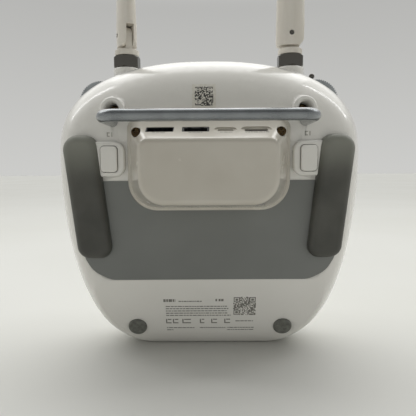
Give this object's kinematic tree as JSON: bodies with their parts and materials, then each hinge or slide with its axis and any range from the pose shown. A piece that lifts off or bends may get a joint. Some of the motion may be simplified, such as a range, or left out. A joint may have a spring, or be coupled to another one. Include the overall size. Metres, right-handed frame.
{
  "type": "radio transmitter controller",
  "caption": "White handheld drone radio transmitter seen from its back: case shells, rubber grips, carrying bar, port module, folding antennas, sprung sticks and device holder.",
  "frame": {"origin": "centre of the small standing flat under the case, on the plane where the two shells meet", "axes": "+Z towards the antennas, +Y towards the sticks and the pilot, +X to the pilot's left, so the back faces -Y"},
  "size_m": [0.1746, 0.113, 0.284],
  "materials": {
    "white_case": "moulded white ABS with a high gloss",
    "grey_panel": "fine matt grey skin",
    "grip_rubber": "soft matt warm grey rubber",
    "bar_paint": "satin grey paint on steel rod",
    "antenna_plastic": "satin off-white moulded plastic",
    "plated_steel": "bright plated",
    "screw_brass": "dulled yellow passivated screw",
    "port_steel": "pressed sheet steel",
    "port_black": "black moulded plastic",
    "stick_metal": "knurled anodised aluminium",
    "inner_black": "black moulded plastic",
    "bezel_grey": "satin grey moulded plastic",
    "dial_grey": "satin blue-grey moulded plastic",
    "button_white": "gloss moulded plastic",
    "holder_white": "gloss moulded plastic",
    "pad_rubber": "soft ribbed rubber",
    "board_green": "solder-masked circuit board",
    "battery_wrap": "shrink-wrapped cells",
    "led_clear": "clear light pipes"
  },
  "bodies": {
    "case": {"back_shell": "white_case", "front_shell": "white_case", "back_panel": "grey_panel", "left_grip": "grip_rubber", "right_grip": "grip_rubber", "rubber_feet": "grip_rubber", "port_module_shell": "white_case", "usb_a_socket": "port_steel", "can_socket": "port_black", "micro_usb_socket": "port_steel", "mini_hdmi_socket": "port_steel", "handle_bar": "bar_paint", "module_screws": "screw_brass", "case_screws": "screw_brass", "bracket_screws": "screw_brass", "antenna_connectors": "plated_steel", "stick_frames": "inner_black", "stick_bezels": "bezel_grey", "dial_axles": "inner_black", "holder_bracket": "holder_white", "holder_pin": "plated_steel", "circuit_boards": "board_green", "shield_cans": "port_steel", "battery_pack": "battery_wrap", "battery_tray": "inner_black", "speaker": "port_black", "led_windows": "led_clear", "charge_sockets": "port_steel"},
    "left_antenna_base": {"left_antenna_swivel": "antenna_plastic"},
    "left_antenna": {"left_antenna_knuckle": "antenna_plastic", "left_antenna_blade": "antenna_plastic", "left_antenna_pin": "plated_steel"},
    "left_yoke": {"left_stick_yoke": "inner_black"},
    "left_stick": {"left_stick_shaft": "stick_metal", "left_stick_dome": "inner_black", "left_stick_cap": "stick_metal"},
    "right_antenna_base": {"right_antenna_swivel": "antenna_plastic"},
    "right_antenna": {"right_antenna_knuckle": "antenna_plastic", "right_antenna_blade": "antenna_plastic", "right_antenna_pin": "plated_steel"},
    "right_yoke": {"right_stick_yoke": "inner_black"},
    "right_stick": {"right_stick_shaft": "stick_metal", "right_stick_dome": "inner_black", "right_stick_cap": "stick_metal"},
    "gimbal_wheel": {"gimbal_dial": "dial_grey"},
    "camera_wheel": {"camera_dial": "dial_grey"},
    "flight_switch": {"mode_switch": "port_steel"},
    "record": {"record_button": "button_white"},
    "shutter": {"shutter_button": "button_white"},
    "playback": {"playback_button": "button_white"},
    "return_home": {"return_home_button": "button_white"},
    "power": {"power_button": "button_white"},
    "rear_left": {"rear_button_left": "white_case"},
    "rear_right": {"rear_button_right": "white_case"},
    "holder": {"holder_arm": "holder_white", "holder_top_pad": "pad_rubber"},
    "jaw": {"holder_jaw": "holder_white", "holder_jaw_pad": "pad_rubber"},
    "release": {"holder_release_button": "holder_white"}
  },
  "joints": [
    {"name": "left_antenna_turn", "type": "hinge", "parent": "case", "child": "left_antenna_base", "pos_m": [-0.0505, 0.01, 0.1768], "axis": [0, 0, 1], "range_deg": [-90, 180]},
    {"name": "left_antenna_fold", "type": "hinge", "parent": "left_antenna_base", "child": "left_antenna", "pos_m": [-0.0505, 0.01, 0.1874], "axis": [0.9018, 0.4321, 0], "range_deg": [0, 90]},
    {"name": "right_antenna_turn", "type": "hinge", "parent": "case", "child": "right_antenna_base", "pos_m": [0.0505, 0.01, 0.1768], "axis": [0, 0, 1], "range_deg": [-180, 90]},
    {"name": "right_antenna_fold", "type": "hinge", "parent": "right_antenna_base", "child": "right_antenna", "pos_m": [0.0505, 0.01, 0.1874], "axis": [0, 1, 0], "range_deg": [0, 90]},
    {"name": "left_stick_up_down", "type": "hinge", "parent": "case", "child": "left_yoke", "pos_m": [-0.0525, 0.0105, 0.104], "axis": [1, 0, 0], "range_deg": [-20, 20], "stiffness_Nm_per_rad": 0.08},
    {"name": "left_stick_side", "type": "hinge", "parent": "left_yoke", "child": "left_stick", "pos_m": [-0.0525, 0.0105, 0.104], "axis": [0, 0, 1], "range_deg": [-20, 20], "stiffness_Nm_per_rad": 0.08},
    {"name": "right_stick_up_down", "type": "hinge", "parent": "case", "child": "right_yoke", "pos_m": [0.0525, 0.0105, 0.104], "axis": [1, 0, 0], "range_deg": [-20, 20], "stiffness_Nm_per_rad": 0.08},
    {"name": "right_stick_side", "type": "hinge", "parent": "right_yoke", "child": "right_stick", "pos_m": [0.0525, 0.0105, 0.104], "axis": [0, 0, 1], "range_deg": [-20, 20], "stiffness_Nm_per_rad": 0.08},
    {"name": "gimbal_dial_turn", "type": "hinge", "parent": "case", "child": "gimbal_wheel", "pos_m": [0.0655, 0.0042, 0.146], "axis": [0, 1, 0], "range_deg": [-35, 35], "stiffness_Nm_per_rad": 0.01},
    {"name": "camera_dial_turn", "type": "hinge", "parent": "case", "child": "camera_wheel", "pos_m": [-0.0655, 0.0042, 0.146], "axis": [0, 1, 0], "continuous": true},
    {"name": "flight_switch_flick", "type": "hinge", "parent": "case", "child": "flight_switch", "pos_m": [0.064, 0.0095, 0.1515], "axis": [0, 1, 0], "range_deg": [-10, 10]},
    {"name": "record_press", "type": "slide", "parent": "case", "child": "record", "axis": [0, -1, 0], "range_m": [0, 0.001], "stiffness_N_per_m": 400},
    {"name": "shutter_press", "type": "slide", "parent": "case", "child": "shutter", "axis": [0, -1, 0], "range_m": [0, 0.001], "stiffness_N_per_m": 400},
    {"name": "playback_press", "type": "slide", "parent": "case", "child": "playback", "axis": [0, -1, 0], "range_m": [0, 0.001], "stiffness_N_per_m": 400},
    {"name": "return_home_press", "type": "slide", "parent": "case", "child": "return_home", "axis": [0, -1, 0], "range_m": [0, 0.001], "stiffness_N_per_m": 400},
    {"name": "power_press", "type": "slide", "parent": "case", "child": "power", "axis": [0, -1, 0], "range_m": [0, 0.001], "stiffness_N_per_m": 400},
    {"name": "rear_left_press", "type": "slide", "parent": "case", "child": "rear_left", "axis": [0, 1, 0], "range_m": [0, 0.0008], "stiffness_N_per_m": 400},
    {"name": "rear_right_press", "type": "slide", "parent": "case", "child": "rear_right", "axis": [0, 1, 0], "range_m": [0, 0.0008], "stiffness_N_per_m": 400},
    {"name": "holder_tilt", "type": "hinge", "parent": "case", "child": "holder", "pos_m": [0, 0.035, 0.14], "axis": [1, 0, 0], "range_deg": [0, 140]},
    {"name": "jaw_slide", "type": "slide", "parent": "holder", "child": "jaw", "axis": [0, 0, -1], "range_m": [0, 0.052]},
    {"name": "release_press", "type": "slide", "parent": "holder", "child": "release", "axis": [-1, 0, 0], "range_m": [0, 0.001], "stiffness_N_per_m": 300}
  ]
}
